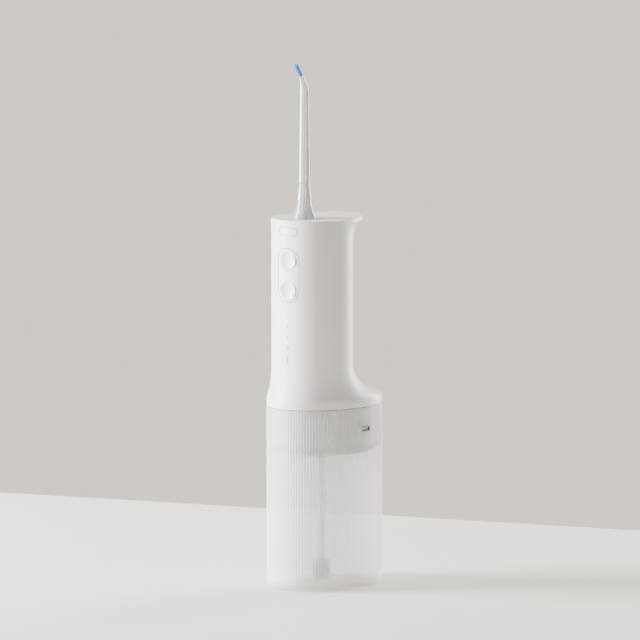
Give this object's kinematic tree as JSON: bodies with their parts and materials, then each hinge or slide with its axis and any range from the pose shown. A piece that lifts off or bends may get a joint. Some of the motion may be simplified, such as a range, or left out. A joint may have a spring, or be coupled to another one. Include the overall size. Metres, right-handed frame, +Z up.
{
  "type": "water flosser",
  "caption": "Cordless handheld water flosser with an oval ribbed water tank, an offset handle with push buttons, and a slender bent clear nozzle.",
  "frame": {"origin": "centre of the oval foot of the water tank, on the surface it stands on", "axes": "+Z up through the nozzle, -Y to the front where the buttons are, +Y to the back, +X to the object's own left side"},
  "size_m": [0.0564, 0.0726, 0.2852],
  "materials": {
    "tank_frosted": "frosted, ribbed outside",
    "shell_white": "satin",
    "cap_white": "satin gloss",
    "base_grey": "satin",
    "catch_plastic": "satin",
    "button_white": "satin",
    "seal_rubber": "matte silicone",
    "clear_plastic": "polished clear",
    "tip_blue": "soft, satin",
    "collar_grey": "satin",
    "inner_plastic": "moulded",
    "pump_plastic": "moulded",
    "tube_clear": "translucent",
    "hose_silicone": "soft silicone",
    "steel": "drawn steel",
    "spring_steel": "wire",
    "magnet": "sintered ferrite",
    "armature": "laminations and windings",
    "pinion_brass": "machined",
    "gear_plastic": "moulded acetal",
    "battery_wrap": "shrink wrap",
    "board_green": "solder mask",
    "chip_black": "moulded",
    "light_white": "diffusing",
    "socket_black": "moulded"
  },
  "bodies": {
    "tank": {"tank_shell": "tank_frosted"},
    "handle": {"pump_base": "base_grey", "tank_gasket": "seal_rubber", "base_screws": "steel", "suction_tube": "tube_clear", "suction_strainer": "inner_plastic", "handle_shell": "shell_white", "top_cap": "cap_white", "chassis": "inner_plastic", "shell_screws": "steel", "motor_can": "steel", "motor_magnets": "magnet", "motor_end_cap": "inner_plastic", "motor_screws": "steel", "crank_axle": "steel", "pump_block": "pump_plastic", "intake_seal": "seal_rubber", "inlet_valve": "seal_rubber", "outlet_valve": "seal_rubber", "outlet_elbow": "pump_plastic", "delivery_hose": "hose_silicone", "battery_cell": "battery_wrap", "battery_tabs": "steel", "main_board": "board_green", "board_chips": "chip_black", "board_screws": "steel", "tact_switches": "chip_black", "indicator_leds": "light_white", "light_guide": "light_white", "button_panel": "shell_white", "panel_seal": "seal_rubber", "nozzle_seat": "pump_plastic", "charge_socket": "steel", "socket_tongue": "socket_black", "charge_board": "board_green"},
    "nozzle_collar": {"nozzle_collar": "collar_grey", "collar_o_ring": "seal_rubber"},
    "nozzle": {"nozzle_tube": "clear_plastic", "nozzle_tip": "tip_blue", "stem_o_ring": "seal_rubber"},
    "release": {"release_button": "button_white", "release_slider": "inner_plastic", "release_spring": "spring_steel"},
    "power_button": {"power_button": "button_white"},
    "mode_button": {"mode_button": "button_white"},
    "catch_left": {"side_catch_left": "catch_plastic", "catch_spring_left": "spring_steel"},
    "catch_right": {"side_catch_right": "catch_plastic", "catch_spring_right": "spring_steel"},
    "motor_rotor": {"motor_armature": "armature", "motor_shaft": "steel", "motor_pinion": "pinion_brass"},
    "crank": {"crank_gear": "gear_plastic"},
    "piston": {"piston": "gear_plastic", "piston_seal": "seal_rubber", "wrist_pin": "steel"},
    "connecting_rod": {"connecting_rod": "gear_plastic"},
    "port_cover": {"port_cover": "seal_rubber"}
  },
  "joints": [
    {"name": "handle_lift", "type": "slide", "parent": "tank", "child": "handle", "axis": [0, 0, 1], "range_m": [0, 0.105]},
    {"name": "nozzle_turn", "type": "hinge", "parent": "handle", "child": "nozzle_collar", "pos_m": [0, -0.018, 0.187], "axis": [0, 0, 1], "continuous": true},
    {"name": "nozzle_pull", "type": "slide", "parent": "nozzle_collar", "child": "nozzle", "axis": [0, 0, 1], "range_m": [0, 0.02]},
    {"name": "release_press", "type": "slide", "parent": "handle", "child": "release", "axis": [0, 1, 0], "range_m": [0, 0.0012], "stiffness_N_per_m": 700, "springref_m": -0.001},
    {"name": "power_press", "type": "slide", "parent": "handle", "child": "power_button", "axis": [0, 1, 0], "range_m": [0, 0.0005], "stiffness_N_per_m": 2000, "springref_m": -0.0004},
    {"name": "mode_press", "type": "slide", "parent": "handle", "child": "mode_button", "axis": [0, 1, 0], "range_m": [0, 0.0005], "stiffness_N_per_m": 2000, "springref_m": -0.0004},
    {"name": "catch_left_press", "type": "slide", "parent": "handle", "child": "catch_left", "axis": [1, 0, 0], "range_m": [0, 0.0014], "stiffness_N_per_m": 600, "springref_m": -0.001},
    {"name": "catch_right_press", "type": "slide", "parent": "handle", "child": "catch_right", "axis": [-1, 0, 0], "range_m": [0, 0.0014], "stiffness_N_per_m": 600, "springref_m": -0.001},
    {"name": "motor_turn", "type": "hinge", "parent": "handle", "child": "motor_rotor", "pos_m": [0, -0.009, 0.12], "axis": [0, 0, 1], "continuous": true},
    {"name": "crank_turn", "type": "hinge", "parent": "handle", "child": "crank", "pos_m": [0, 0.0064, 0.098], "axis": [0, 0, 1], "continuous": true},
    {"name": "piston_stroke", "type": "slide", "parent": "handle", "child": "piston", "axis": [0, 1, 0], "range_m": [0, 0.007]},
    {"name": "rod_swing", "type": "hinge", "parent": "piston", "child": "connecting_rod", "pos_m": [0, -0.0091, 0.0895], "axis": [0, 0, 1], "range_deg": [-17, 17]},
    {"name": "port_cover_open", "type": "hinge", "parent": "handle", "child": "port_cover", "pos_m": [0, 0.0105, 0.1241], "axis": [-1, 0, 0], "range_deg": [0, 95]}
  ],
  "couplings": [
    {"joint": "crank_turn", "follows": "motor_turn", "ratio": -0.33333}
  ]
}
